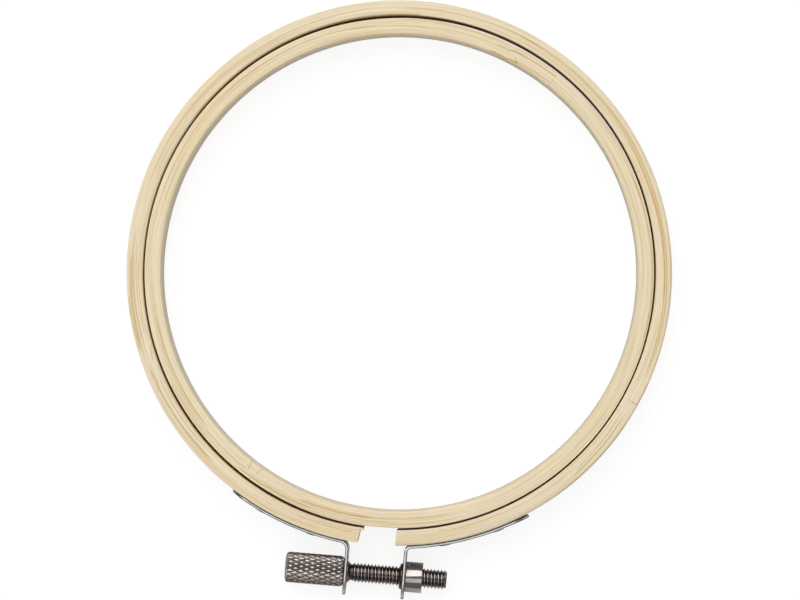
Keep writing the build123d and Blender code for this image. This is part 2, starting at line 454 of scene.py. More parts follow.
outerBamboo = {
    "paleColour": (0.89, 0.765, 0.54, 1.0), "warmColour": (0.84, 0.66, 0.38, 1.0),
    "markColour": (0.3, 0.15, 0.06, 1.0), "edgeColour": (0.62, 0.56, 0.47, 1.0),
    "edgeShares": (0.9, 1.0), "gapShares": (0.1, 0.0), "seed": 11.0,
    "growthLines": [
        (69.4, 162.0, 0.68, 0.58, 0.22, 0.1, 0.8), (69.4, 128.0, 0.6, 0.4, 0.2, 0.1, 0.8),
        (88, 114, 0.52, 0.5, 0.5, 0.1, 0.42), (108, 162, 0.5, 0.51, 0.24, 0.1, 0.5),
        (70, 102, 0.9, 0.86, 0.2, 0.1, 0.32), (128, 156, 0.3, 0.27, 0.14, 0.1, 0.3),
        (152, 176, 0.86, 0.84, 0.17, 0.1, 0.42), (150, 186, 0.58, 0.5, 0.26, 0.1, 0.65),
        (153, 168, 0.27, 0.25, 0.16, 0.1, 0.38), (186, 264, 0.51, 0.56, 0.17, 0.1, 0.5),
        (170, 204, 0.02, 0.03, 0.55, 0.1, 0.85), (200, 240, 0.02, 0.02, 0.36, 0.1, 0.5),
        (264, 294, 0.62, 0.72, 0.3, 0.1, 0.6), (270.0, 291.5, 0.76, 0.8, 0.2, 0.3, 0.85),
        (270.0, 290.5, 0.6, 0.5, 0.18, 0.3, 0.75), (267, 290, 0.43, 0.3, 0.2, 0.3, 0.65),
        (271, 291, 0.28, 0.13, 0.17, 0.3, 0.6), (279.0, 292.5, 0.9, 0.86, 0.22, 0.3, 0.75),
        (290.6, 294.6, 0.1, 0.34, 0.16, 0.2, 0.8), (294.6, 321.0, 0.62, 0.5, 0.3, 0.3, 0.9),
        (297, 318, 0.32, 0.27, 0.19, 0.3, 0.55), (300, 324, 0.82, 0.74, 0.14, 0.2, 0.32),
        (309, 336, 0.6, 0.7, 0.22, 0.1, 0.4), (331, 349, 0.76, 0.72, 0.16, 0.1, 0.42),
        (341, 356, 0.36, 0.38, 0.18, 0.1, 0.65), (345, 357, 0.22, 0.24, 0.16, 0.1, 0.42),
        (11, 47, 0.3, 0.25, 0.18, 0.1, 0.6), (45, 63, 0.66, 0.54, 0.22, 0.15, 0.85),
        (46.0, 62.6, 0.5, 0.3, 0.18, 0.15, 0.7), (38, 63, 0.96, 0.94, 0.3, 0.15, 0.65),
        (65.9, 71.0, 0.93, 0.92, 0.28, 0.2, 0.5), (20, 50, 0.8, 0.84, 0.2, 0.1, 0.25),
    ],
    "jointMarks": [
        (65.7, -0.1, 0.5, 1.1, 0.13, 0.85, 4.0), (65.8, -0.1, 0.14, 0.5, 0.12, 0.3, 1.0),
        (292.0, 4.6, 0.0, 1.0, 0.1, 0.0, 3.2),
    ],
}


# A streak is (lengthwise, across, detail, seed). A range is (from, to), with the values at from and at to
# after them where they aren't 0 and 1. The relief's shares weigh threads, pores and lines
bambooFinish = {
    "lineColour": (0.6, 0.38, 0.12, 1.0), "gapShadeColour": (0.74, 0.57, 0.35, 1.0),
    "streaks": {"drift": (3.2, 0.0, 1.0, 40.0), "wave": (26.0, 0.0, 1.0, 50.0),
                "bands": (1.6, 0.75, 1.0, 0.0), "threads": (2.2, 4.2, 2.0, 7.0),
                "pores": (16.0, 9.0, 2.0, 19.0), "clouds": (7.0, 0.5, 2.0, 31.0)},
    "layerDrift": 0.3, "layerLean": 0.16, "calmShare": 0.85, "bandWarmth": (0.42, 0.72, 0.0, 0.55),
    "cloudWarmth": (0.5, 0.8, 0.0, 0.2), "threadWarmth": (0.5, 0.68, 0.0, 0.4),
    "threadShade": (0.32, 0.62, 1.1, 0.91), "poreShade": (0.58, 0.72, 1.0, 0.85),
    "lineShown": (0.6, 2.6, 0.95, 0.28), "edgeShadeShares": (0.1, 0.8), "gapShadeDepths": (0.12, 0.7),
    "roughness": (0.3, 0.7, 0.62, 0.5), "specular": 0.35,
    "relief": 0.45, "reliefDepth": 0.05 * mm, "reliefShares": (0.6, 0.8, 0.25),
}


def bambooMaterial(name, look, insideRadius, wall, halfHeight):
    finish = bambooFinish
    material, tree, shader = newMaterial(name)
    place = useGroup(polarPlace, tree=tree)
    around, radius, height, angle = (place[key] for key in ("Around", "Radius", "Height", "Angle"))
    top = halfHeight / mm

    def streaks(kind, radius):
        lengthwise, across, detail, seed = finish["streaks"][kind]
        inputs = {"Around": around, "Radius": radius, "Height": height, "Lengthwise": lengthwise,
                  "Across": across, "Detail": detail, "Seed": look["seed"] + seed}
        return useGroup(fibres, inputs)["Value"]

    def centred(value, amount):
        return times(minus(value, 0.5), amount)

    def shareRadius(share):
        return (insideRadius + share * wall) / mm

    # the layers lean outwards a little on their way down, and wander across the strip as they run round it
    drift = centred(streaks("drift", 0.0), finish["layerDrift"])
    layer = calc("MULTIPLY_ADD", minus(top, height), finish["layerLean"], plus(radius, drift))
    wave = centred(streaks("wave", 0.0), 1.0)
    bands, threads, pores = (streaks(kind, layer) for kind in ("bands", "threads", "pores"))
    clouds = streaks("clouds", radius)

    lineMasks = []
    for first, last, startShare, endShare, width, waviness, strength in look["growthLines"]:
        inputs = {"Angle": angle, "Radius": layer, "Wave": wave, "From": first, "Span": last - first,
                  "Start Radius": shareRadius(startShare), "End Radius": shareRadius(endShare),
                  "Width": width, "Waviness": waviness, "Strength": strength}
        lineMasks.append(useGroup(grainLine, inputs)["Mask"])
    markMasks = []
    calmMasks = []
    for at, lean, insideShare, outsideShare, width, strength, calmReach in look["jointMarks"]:
        inputs = {"Angle": angle, "Radius": radius, "At": at, "Lean": lean, "Width": width, "Calm": calmReach,
                  "Inside": shareRadius(insideShare), "Outside": shareRadius(outsideShare)}
        mark = useGroup(jointMark, inputs)
        markMasks.append(times(mark["Line"], strength))
        calmMasks.append(mark["Calm"])
    lines, marks, calm = (plus(*masks, use_clamp=True) for masks in (lineMasks, markMasks, calmMasks))

    bandWarmth = smoothRemap(bands, *finish["bandWarmth"])
    threadWarmth = smoothRemap(threads, *finish["threadWarmth"])
    warmth = plus(bandWarmth, remap(clouds, *finish["cloudWarmth"]), threadWarmth, use_clamp=True)
    warmth = times(warmth, minus(1.0, times(calm, finish["calmShare"])))
    colour = mixColours(warmth, look["paleColour"], look["warmColour"])
    poreShade = remap(pores, *finish["poreShade"])
    shade = times(remap(threads, *finish["threadShade"]), poreShade)
    colour = mixColours(1.0, colour, vector(shade, shade, shade), "MULTIPLY")
    # the growth lines show on the faces, and hardly on the walls
    farUp = calc("ABSOLUTE", height)
    shown = smoothRemap(minus(top, farUp), *finish["lineShown"])
    colour = mixColours(times(lines, shown), colour, finish["lineColour"])
    colour = mixColours(marks, colour, look["markColour"])

    # the edges are painted greyer, partly the strip's own skin tone and partly painted shade that deepens
    # towards the table
    share = remap(radius, insideRadius / mm, (insideRadius + wall) / mm)
    edgeToneAndShade = smoothRemap(share, *look["edgeShares"])
    edgeToneAndShade = times(edgeToneAndShade, remap(height, top, -top, *finish["edgeShadeShares"]))
    colour = mixColours(edgeToneAndShade, colour, look["edgeColour"])
    # the wood deeper in the gap is painted darker and warmer, as painted shade in the narrow gap
    inGap = smoothRemap(share, *look["gapShares"])
    faceDepth, gapDepth = finish["gapShadeDepths"]
    below = remap(farUp, top - faceDepth, top - gapDepth)
    colour = mixColours(times(inGap, below), colour, finish["gapShadeColour"])

    threadShare, poreShare, lineShare = finish["reliefShares"]
    relief = plus(times(threads, threadShare), times(poreShade, poreShare))
    relief = minus(relief, times(plus(lines, marks), lineShare))
    bump = addNode("ShaderNodeBump", {"Height": relief, "Strength": finish["relief"],
                   "Distance": finish["reliefDepth"]})
    feed(shader, {"Base Color": colour, "Roughness": remap(threads, *finish["roughness"]),
                  "Specular IOR Level": finish["specular"], "Normal": bump.outputs[0]})
    return material


# Rings: each is a rounded strip swept along an arc by a geometry tree
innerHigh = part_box("inner_ring")[1]
outerLow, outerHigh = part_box("outer_ring")
rings = {
    "innerWall": 3.3 * mm,
    "outerWall": 3.15 * mm,
    "height": outerHigh.z - outerLow.z,
    "cornerRadius": 0.5 * mm,
    "gapCornerRadius": 0.14 * mm,
    "cornerSteps": 5,
    "stepAngle": 0.5,
    "gapShift": 0.01 * mm, "gapSway": 0.06 * mm, "gapSwayAt": 90.0,
    "gapOval": 0.14 * mm, "gapOvalAt": 74.0,
    "unevenness": 0.05 * mm, "unevennessScale": 90.0,
    "splitWidth": 7.4 * mm, "leftLean": 7.6, "rightLean": -1.3, "cutEdge": 0.06 * mm,
    "cutBefore": 0.6 * mm, "cutPast": 0.2 * mm, "lipLength": 0.7 * mm, "lipWall": 0.55 * mm, "lipSteps": 6,
    "seed": 4,
}
outerMiddle = outerHigh.x - rings["outerWall"] / 2


def bentStripTree():
    inputs = floats("Inside Radius", "Wall", "Height", "Corner Radius", "Gap Corner Radius", "Gap Side",
                    "Gap Shift", "Gap Sway", "Gap Sway At", "Gap Oval", "Gap Oval At", "Unevenness",
                    "Unevenness Scale", "First Angle", "Sweep")
    inputs |= sockets("Int", 1, "Steps", "Corner Steps", "Seed")
    tree, given = newPieceTree("bentStrip", inputs | {"Closed Ends": ("Bool", False)})
    middle = calc("MULTIPLY_ADD", given["Wall"], 0.5, given["Inside Radius"])
    arc = addNode("GeometryNodeCurveArc", {"Resolution": given["Steps"], "Radius": middle,
                  "Start Angle": given["First Angle"], "Sweep Angle": given["Sweep"]}, mode="RADIUS")
    upright = addNode("GeometryNodeSetCurveNormal", {"Curve": arc.outputs["Curve"]}, mode="Z_UP")
    section = addNode("GeometryNodeCurvePrimitiveQuadrilateral",
                      {"Width": given["Wall"], "Height": given["Height"]})
    acrossWall = split(position(tree))["X"]
    atGap = calc("GREATER_THAN", times(acrossWall, given["Gap Side"]), 0.0)
    cornerRadius = remap(atGap, 0.0, 1.0, given["Corner Radius"], given["Gap Corner Radius"])
    fillet = addNode("GeometryNodeFilletCurve", {"Curve": section.outputs[0],
                     "Count": given["Corner Steps"], "Radius": cornerRadius}, mode="POLY")
    sweep = addNode("GeometryNodeCurveToMesh", {"Curve": upright.outputs[0],
                    "Profile Curve": fillet.outputs[0], "Fill Caps": given["Closed Ends"]})
    welded = addNode("GeometryNodeMergeByDistance", {"Geometry": sweep.outputs[0], "Distance": 0.001 * mm})

    # the strip isn't quite even, and its face towards the other ring leaves an uneven gap
    point = position(tree)
    parts = split(point)
    outwards, length = polar(parts)
    turn = calc("ARCTAN2", parts["Y"], parts["X"])
    sway = calc("COSINE", minus(turn, given["Gap Sway At"]))
    oval = calc("COSINE", times(minus(turn, given["Gap Oval At"]), 2.0))
    shift = calc("MULTIPLY_ADD", sway, given["Gap Sway"], given["Gap Shift"])
    shift = calc("MULTIPLY_ADD", oval, given["Gap Oval"], shift)
    towardsGap = times(minus(length, middle), given["Gap Side"])
    nearGap = remap(towardsGap, 0.0, times(given["Wall"], 0.5))
    wobble = noise(point, given["Seed"], given["Unevenness Scale"])
    inwards = times(wobble, given["Unevenness"], -1.0)
    farShare = remap(towardsGap, times(given["Wall"], -0.5), 0.0, 1.0, 0.0)
    outerSide = times(farShare, times(given["Gap Side"], -1.0))
    radialShift = calc("MULTIPLY_ADD", nearGap, shift, times(inwards, outerSide))
    # the upper and lower faces dip by less than the unevenness, and never rise
    dip = times(inwards, calc("SIGN", parts["Z"]), 0.5)
    offset = vectorCalc("ADD", scaleBy(outwards, radialShift), vector(z=dip))
    moved = addNode("GeometryNodeSetPosition", {"Geometry": welded.outputs[0], "Offset": offset})
    smooth = addNode("GeometryNodeSetShadeSmooth", {0: moved.outputs[0]}, domain="FACE")
    edgeAngle = addNode("GeometryNodeInputMeshEdgeAngle", tree=tree).outputs[0]
    sharp = addNode("FunctionNodeCompare", {0: edgeAngle, 1: math.radians(sharpOver["strip"])},
                    operation="GREATER_THAN")
    crisp = addNode("GeometryNodeSetShadeSmooth", {0: smooth.outputs[0], 1: sharp.outputs[0], 2: False},
                    domain="EDGE")
    return finishPiece(tree, given, crisp.outputs[0])


def splitFaceX(y, side):
    lean = rings["leftLean"] if side < 0 else rings["rightLean"]
    return side * (rings["splitWidth"] / 2 - (y + outerMiddle) * math.tan(math.radians(lean)))


# Puts a strip's last section on the leaning face that the saw left, and eases that face's edges
def sawEnd(piece, side):
    with editing(piece.data) as work:
        cut = set()
        for vertex in work.verts:
            face = splitFaceX(vertex.co.y, side)
            if vertex.co.y < 0 and -rings["cutBefore"] < side * (vertex.co.x - face) < rings["cutPast"]:
                vertex.co.x = face
                cut.add(vertex)
        edges = [edge for edge in work.edges if all(vertex in cut for vertex in edge.verts)]
        bmesh.ops.bevel(work, geom=edges, offset=rings["cutEdge"], segments=2, profile=0.5, affect="EDGES")


def addMesh(piece, extra):
    with editing(piece.data) as work:
        work.from_mesh(extra.data)
    bpy.data.objects.remove(extra)


def makeRings():
    tree = bentStripTree()
    innerInside = innerHigh.x - rings["innerWall"]
    outerInside = outerHigh.x - rings["outerWall"]
    halfHeight = rings["height"] / 2
    innerMaterial = bambooMaterial("innerBamboo", innerBamboo, innerInside, rings["innerWall"], halfHeight)
    outerMaterial = bambooMaterial("outerBamboo", outerBamboo, outerInside, rings["outerWall"], halfHeight)
    shared = titled(rings, "height", "cornerRadius", "gapCornerRadius", "cornerSteps", "unevenness",
                    "unevennessScale", "seed")
    step = math.radians(rings["stepAngle"])
    innerRing = grow("innerRing", tree, shared | {
        "Inside Radius": innerInside, "Wall": rings["innerWall"], "Gap Side": 1.0, "Material": innerMaterial,
        "First Angle": 0.0, "Sweep": math.tau, "Steps": round(math.tau / step) + 1, "Closed Ends": False})
    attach(innerRing, "inner")
    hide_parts("inner_ring")

    # the outer ring is two halves that meet at the back
    shared |= titled(rings, "gapShift", "gapSway", "gapOval") | {
        "Inside Radius": outerInside, "Wall": rings["outerWall"], "Gap Side": -1.0,
        "Material": outerMaterial, "Closed Ends": True,
        "Gap Sway At": math.radians(rings["gapSwayAt"]), "Gap Oval At": math.radians(rings["gapOvalAt"])}
    endAngle = math.asin(rings["splitWidth"] / 2 / outerMiddle)
    halves = []
    for name, side in (("outerRingLeft", -1), ("outerRingRight", 1)):
        sweep = side * (math.pi - endAngle)
        half = grow(name, tree, shared | {"First Angle": -math.pi / 2 + side * endAngle, "Sweep": sweep,
                                          "Steps": round(abs(sweep) / step) + 1})
        sawEnd(half, side)
        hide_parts("outer_ring")
        halves.append(half)
    left, right = halves
    # a thin tongue that the saw left standing at the left end
    lipSweep = 2 * rings["lipLength"] / outerInside
    lip = grow("lip", tree, shared | {"Wall": rings["lipWall"], "Corner Radius": rings["gapCornerRadius"],
                                      "First Angle": -math.pi / 2 - endAngle - lipSweep / 2,
                                      "Sweep": lipSweep, "Steps": rings["lipSteps"]})
    addMesh(left, lip)
    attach(left, "hoop")
    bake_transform(right)
    print("rings made")


# Metals

# A look has its tones, its roughness from the fine marks' low to their high, and the marks' scale along X, Y
# and Z. A hollow is (from x, to x, bottom radius, top radius, wear and highlight) about the screw's axis, in
# mm,
# with x counted from hollowsFrom: its bottom is painted dark, as painted shade with some dark oxide, and its
# top is painted bright, as worn plating with a painted highlight
metalFinish = {
    "dullness": (0.4, 0.68, 0.0, 0.6), "dullRoughness": 0.12, "fineRange": (0.3, 0.7),
    "creaseShadeShare": 0.9, "farEndShadeShare": 0.9, "farEndShadeFade": (1.0, 0.2), "earTipShadeShare": 0.85,
    "wearReach": 0.09 * mm, "wearContrast": 5.0, "reliefDepth": 0.02 * mm,
}
screwLow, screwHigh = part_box("clamp_screw")
screwY = (screwLow.y + screwHigh.y) / 2


def metalMaterial(name, look):
    finish = metalFinish
    material, tree, shader = newMaterial(name)
    inputs = {"Scale": look["marks"], "Centre": (0.0, screwY, 0.0), "Seed": look["seed"]}
    marks = useGroup(toolMarks, inputs, tree)
    dullness = smoothRemap(marks["Broad"], *finish["dullness"])
    colour = mixColours(dullness, look["baseColour"], look["dullColour"])
    for first, last, bottom, top, wearAndHighlight in look.get("hollows", []):
        inputs = {"Centre Y": screwY / mm, "From": look["hollowsFrom"] + first,
                  "To": look["hollowsFrom"] + last, "Bottom": bottom, "Top": top, "Rubbing": wearAndHighlight}
        hollow = useGroup(hollowShade, inputs, tree)
        colour = mixColours(hollow["Bottom"], colour, look["darkColour"])
        colour = mixColours(hollow["Top"], colour, look["edgeColour"])
    if "creaseRadii" in look:
        # painted darkness: in the crease against the wood as painted shadow with some dirt, and at the
        # half-round far end and at the ear's tip as painted dark reflection with some tarnish
        place = useGroup(polarPlace, tree=tree)
        around, radius = place["Around"], place["Radius"]
        crease = smoothRemap(radius, *look["creaseRadii"], finish["creaseShadeShare"], 0.0)
        fromBack = calc("ABSOLUTE", minus(place["Angle"], 180.0))
        near, far = look["farEndAngles"]
        farEnd = remap(fromBack, 180.0 - near, 180.0 - far, 0.0, finish["farEndShadeShare"])
        farEnd = times(farEnd, remap(radius, *look["farEndRadii"], *finish["farEndShadeFade"]))
        y = over(split(objectPlace(tree))["Y"], mm)
        tip = remap(y, *look["earTipAt"], 0.0, finish["earTipShadeShare"])
        colour = mixColours(greatest(crease, farEnd, tip), colour, look["darkColour"])
        # the strap's rolled edges are painted dark, as a painted dark reflection
        edge = useGroup(edgeRoll, {"Around": around, "Radius": radius, "Ear From": look["earFrom"]})
    else:
        wear = {"Reach": finish["wearReach"], "Contrast": finish["wearContrast"]}
        edge = useGroup(edgeWear, wear, tree)
    colour = mixColours(times(edge["Mask"], look["edgeShare"]), colour, look["edgeColour"])
    roughness = remap(marks["Fine"], *finish["fineRange"], *look["roughness"])
    roughness = calc("MULTIPLY_ADD", dullness, finish["dullRoughness"], roughness)
    bump = addNode("ShaderNodeBump", {"Height": marks["Fine"], "Strength": look["relief"],
                   "Distance": finish["reliefDepth"]})
    feed(shader, {"Base Color": colour, "Roughness": roughness, "Metallic": 1.0, "Normal": bump.outputs[0]})
    return material


# Straps: the formed sheet as the frame has it, with its sheared edges rounded over
strapMetal = {
    "baseColour": (0.74, 0.73, 0.71, 1.0), "dullColour": (0.52, 0.51, 0.49, 1.0),
    "edgeColour": (0.12, 0.116, 0.11, 1.0), "edgeShare": 0.85, "darkColour": (0.05, 0.046, 0.043, 1.0),
    "roughness": (0.26, 0.42), "marks": (160.0, 160.0, 9000.0), "relief": 0.14, "seed": 2.0,
    "creaseRadii": (54.44, 54.85), "farEndAngles": (29.4, 31.4), "farEndRadii": (54.7, 55.0),
    "earTipAt": (-64.4, -64.95), "earFrom": 55.4,
}
straps = {"edgeRound": 0.2 * mm, "weld": 0.0002 * mm, "flatWithin": 0.4,
          "liftFrom": 27.0, "liftSpan": 6.0374, "lift": 0.28 * mm}


def makeStrap(name, node, body, material, lift):
    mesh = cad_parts[node].data.copy()
    with editing(mesh) as work:
        bmesh.ops.remove_doubles(work, verts=work.verts, dist=straps["weld"])
        bmesh.ops.dissolve_limit(work, angle_limit=math.radians(straps["flatWithin"]), verts=work.verts,
                                 edges=work.edges)
        # past its last tack the strap may rise off the wood, by the whole lift at liftFrom + liftSpan degrees
        for vertex in work.verts:
            angle = math.degrees(math.atan2(abs(vertex.co.x), -vertex.co.y))
            share = max(0.0, angle - straps["liftFrom"]) / straps["liftSpan"]
            outwards = Vector((vertex.co.x, vertex.co.y, 0)).normalized()
            vertex.co += outwards * lift * share * share
        bmesh.ops.recalc_face_normals(work, faces=work.faces)
    mesh.materials.clear()
    mesh.materials.append(material)
    piece = linkObject(name, mesh)
    roundEdges(piece, straps["edgeRound"], even=True)
    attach(piece, body)
    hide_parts(node)


# Tacks: low domed heads on the straps, over pointed shanks sunk in the wood
tackMetal = {
    "baseColour": (0.42, 0.41, 0.39, 1.0), "dullColour": (0.25, 0.24, 0.225, 1.0),
    "edgeColour": (0.7, 0.69, 0.67, 1.0), "edgeShare": 0.25,
    "roughness": (0.24, 0.42), "marks": (900.0, 900.0, 900.0), "relief": 0.12, "seed": 5.0,
}
tackHeads = {"radius": 1.3 * mm, "height": 0.32 * mm, "rim": 0.07 * mm, "shankRadius": 0.6 * mm,
             "shankLength": 2.5 * mm, "pointLength": 0.7 * mm, "steps": 32}


def makeTack(name, node, body, material):
    size = tackHeads
    low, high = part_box(node)
    centre = (low + high) / 2
    outwards = Vector((centre.x, centre.y, 0)).normalized()
    # the head's underside lies on the strap's outer face
    topRadius = max(vertex.co.xy.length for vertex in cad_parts[node].data.vertices)
    shankEnd = -size["shankLength"]
    outline = [(shankEnd, 0.0), (shankEnd + size["pointLength"], size["shankRadius"]),
               (0.0, size["shankRadius"]), (0.0, size["radius"])]
    for turn in range(0, 91, 15):
        rise = (size["height"] - size["rim"]) * math.sin(math.radians(turn))
        radius = size["radius"] * math.cos(math.radians(turn)) if turn < 90 else 0.0
        outline.append((size["rim"] + rise, radius))
    mesh = turnedMesh(name, outline, 0.0, size["steps"])
    turn = Vector((1, 0, 0)).rotation_difference(outwards).to_matrix().to_4x4()
    mesh.transform(Matrix.Translation(outwards * (topRadius - size["height"])) @ turn)
    smoothByAngle(mesh, sharpOver["tack"])
    mesh.materials.append(material)
    piece = linkObject(name, mesh)
    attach(piece, body)
    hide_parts(node)


# The clamp screw: a knurled head, a plain neck and a rolled thread, all about one axis along X
clampScrew = {
    "headLength": 11.8 * mm, "headRadius": 3.1 * mm, "endRound": 0.8 * mm,
    "shoulderLength": 1.0 * mm, "shoulderRadius": 2.5 * mm,
    "diamondsRound": 20, "diamondLength": 2.2 * mm, "knurlDepth": 0.25 * mm, "crestFlat": 0.1,
    "rowsADiamond": 24, "stepsADiamond": 10,
    "neckRadius": 2.2 * mm, "neckLength": 0.72 * mm, "rootRadius": 1.58 * mm, "reliefLength": 0.3 * mm,
    "threadPitch": 0.7 * mm, "threadRadius": 1.95 * mm, "tipChamfer": 0.45 * mm,
    "rowsAPitch": 12, "turnSteps": 64, "valleyShares": (0.15, 0.8),
    "sunk": 0.5 * mm, "sunkRadius": 1.3 * mm, "overlap": 0.02 * mm,
}
screwMetal = {
    "baseColour": (0.35, 0.295, 0.275, 1.0), "dullColour": (0.2, 0.165, 0.152, 1.0),
    "edgeColour": (0.9, 0.86, 0.83, 1.0), "edgeShare": 0.25, "darkColour": (0.035, 0.029, 0.026, 1.0),
    "roughness": (0.14, 0.3), "marks": (5200.0, 500.0, 500.0), "relief": 0.2, "seed": 8.0,
    "hollowsFrom": (screwLow.x + clampScrew["headLength"]) / mm,
    # the knurl's grooves and the thread's roots are painted dark, as shade with some dark oxide, and the neck
    # past the shoulder is painted dark as shade; the crests are painted bright, as worn plating with a
    # painted highlight
    "hollows": [(-11.3, -0.6, 2.88, 3.1, 0.34), (-0.6, 0.0, 2.2, 2.95, 0.3), (0.65, 1.2, 1.9, 3.0, 0.0),
                (1.2, 40.0, 1.6, 1.95, 0.12)],
}


# A skin of rows along X, bent round the screw's axis by two formulas for its place and radius
def screwSkinTree(name, inputs, rowsAndSteps, placeAndRadius):
    inputs = inputs | floats("Axis Y", "Start X")
    tree, given = newPieceTree(name, inputs)
    rows, steps, length = rowsAndSteps(given)
    grid = addNode("GeometryNodeMeshGrid", {"Size X": length, "Size Y": math.tau,
                   "Vertices X": rows, "Vertices Y": steps})
    parts = split(position(tree))
    along = calc("MULTIPLY_ADD", length, 0.5, parts["X"])
    place, radius = placeAndRadius(given, along, parts["Y"])
    x = plus(place, given["Start X"])
    y = calc("MULTIPLY_ADD", radius, calc("COSINE", parts["Y"]), given["Axis Y"])
    z = times(radius, calc("SINE", parts["Y"]))
    moved = addNode("GeometryNodeSetPosition", {"Geometry": grid.outputs["Mesh"],
                    "Position": vector(x, y, z)})
    return finishPiece(tree, given, moved.outputs[0])


# 1 at whole numbers and 0 half way between them
def peaks(value):
    share = calc("FRACT", value)
    return calc("ABSOLUTE", calc("MULTIPLY_ADD", share, 2.0, -1.0))


# The knurl: two families of V grooves cross and leave low diamonds with rounded, worn tops
def knurlTree():
    inputs = floats("Head Length", "Head Radius", "End Round", "Shoulder Length", "Shoulder Radius",
                    "Diamond Length", "Knurl Depth", "Crest Flat")
    inputs |= sockets("Int", 1, "Diamonds Round", "Rows A Diamond", "Steps A Diamond")

    def rowsAndSteps(given):
        cells = over(given["Head Length"], given["Diamond Length"])
        rows = plus(calc("ROUND", times(cells, given["Rows A Diamond"])), 1.0)
        steps = calc("MULTIPLY_ADD", given["Diamonds Round"], given["Steps A Diamond"], 1.0)
        return rows, steps, given["Head Length"]

    def placeAndRadius(given, along, turn):
        length, radius, endRound = (given[name] for name in ("Head Length", "Head Radius", "End Round"))
        x = over(along, given["Diamond Length"])
        around = times(over(turn, math.tau), given["Diamonds Round"])
        height = least(peaks(plus(around, x)), peaks(minus(around, x)))
        height = remap(height, 0.0, minus(1.0, given["Crest Flat"]), 0.0, math.pi / 2)
        groove = minus(radius, given["Knurl Depth"])
        knurled = calc("MULTIPLY_ADD", calc("SINE", height), given["Knurl Depth"], groove)
        # the turned end round cuts the knurl off, and the round shoulder draws it in
        short = greatest(minus(endRound, along), 0.0)
        fall = minus(calc("POWER", endRound, 2.0), calc("POWER", short, 2.0))
        rounding = minus(endRound, calc("SQRT", greatest(fall, 0.0)))
        past = remap(along, minus(length, given["Shoulder Length"]), length)
        level = calc("SQRT", minus(1.0, calc("POWER", past, 2.0)))
        drop = times(minus(radius, given["Shoulder Radius"]), minus(1.0, level))
        return along, least(minus(knurled, drop), minus(radius, rounding))

    return screwSkinTree("knurledHead", inputs, rowsAndSteps, placeAndRadius)


# The thread: rows that climb one pitch a turn, with flat crests and roots, cut off at both ends
def threadTree():
    inputs = floats("Length", "Thread Pitch", "Root Radius", "Thread Radius", "Tip Chamfer")
    inputs |= sockets("Int", 1, "Rows A Pitch", "Turn Steps")

    def rowsAndSteps(given):
        pitches = calc("CEIL", over(given["Length"], given["Thread Pitch"]))
        turns = plus(pitches, 2.0)
        rows = calc("MULTIPLY_ADD", turns, given["Rows A Pitch"], 1.0)
        return rows, plus(given["Turn Steps"], 1.0), times(turns, given["Thread Pitch"])

    def placeAndRadius(given, along, turn):
        length, pitch, root, crest = (given[name] for name in ("Length", "Thread Pitch", "Root Radius",
                                                               "Thread Radius"))
        climb = times(over(turn, math.tau), pitch)
        fromStart = minus(plus(along, climb), pitch)
        place = least(greatest(fromStart, 0.0), length)
        valley = peaks(over(along, pitch))
        height = remap(valley, *clampScrew["valleyShares"], 1.0, 0.0)
        radius = remap(height, 0.0, 1.0, root, crest)
        runIn = plus(root, place)
        tip = minus(crest, given["Tip Chamfer"])
        runOut = plus(tip, minus(length, place))
        return place, least(radius, least(runIn, runOut))

    return screwSkinTree("rolledThread", inputs, rowsAndSteps, placeAndRadius)


def makeScrew(material):
    size = clampScrew
    shoulderX = screwLow.x + size["headLength"]
    neckEnd = shoulderX + size["neckLength"]
    coneEnd = neckEnd + size["neckRadius"] - size["rootRadius"]
    threadX = coneEnd + size["reliefLength"]
    shared = titled(size, *size) | {"Axis Y": screwY, "Material": material}
    head = grow("clampScrew", knurlTree(), shared | {"Start X": screwLow.x})
    thread = grow("thread", threadTree(), shared | {"Start X": threadX, "Length": screwHigh.x - threadX})
    neckStart = shoulderX - size["sunk"]
    threadEnd = threadX + size["sunk"]
    neckOutline = [(neckStart, 0.0), (neckStart, size["neckRadius"]), (neckEnd, size["neckRadius"]),
                   (coneEnd, size["rootRadius"]), (threadX + size["overlap"], size["rootRadius"]),
                   (threadEnd, size["sunkRadius"]), (threadEnd, 0.0)]
    neck = linkObject("neck", turnedMesh("neck", neckOutline, screwY, size["turnSteps"]))
    neck.data.materials.append(material)
    closeMesh(head.data)
    closeMesh(thread.data)
    for part in (neck, thread):
        union = head.modifiers.new("union", "BOOLEAN")
        union.operation = "UNION"
        union.solver = "MANIFOLD"
        union.object = part
    settle(head)
    for part in (neck, thread):
        bpy.data.objects.remove(part)
    smoothByAngle(head.data, sharpOver["screw"])
    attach(head, "screw")
    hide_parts("clamp_screw")
    print("screw made:", len(head.data.polygons), "faces")


# The nut: a turned bush outside the right ear, its collar riveted over on the inside
nutLow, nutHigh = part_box("clamp_nut")
clampNut = {"bore": 2.0 * mm, "collar": 2.3 * mm, "flange": 2.65 * mm, "flangeThickness": 0.6 * mm,
            "flangeChamfer": 0.3 * mm, "strapThickness": 0.6 * mm, "edgeRound": 0.12 * mm, "steps": 96}
nutMetal = {
    "baseColour": (0.37, 0.335, 0.315, 1.0), "dullColour": (0.24, 0.205, 0.188, 1.0),
    "edgeColour": (0.6, 0.57, 0.55, 1.0), "edgeShare": 0.25, "darkColour": (0.035, 0.029, 0.026, 1.0),
    "roughness": (0.07, 0.18), "marks": (7000.0, 260.0, 260.0), "relief": 0.12, "seed": 13.0,
    # the riveted flange inside the ear is painted dark, as painted shade
    "hollowsFrom": nutLow.x / mm, "hollows": [(-0.05, 0.65, 2.7, 3.0, 0.0)],
}


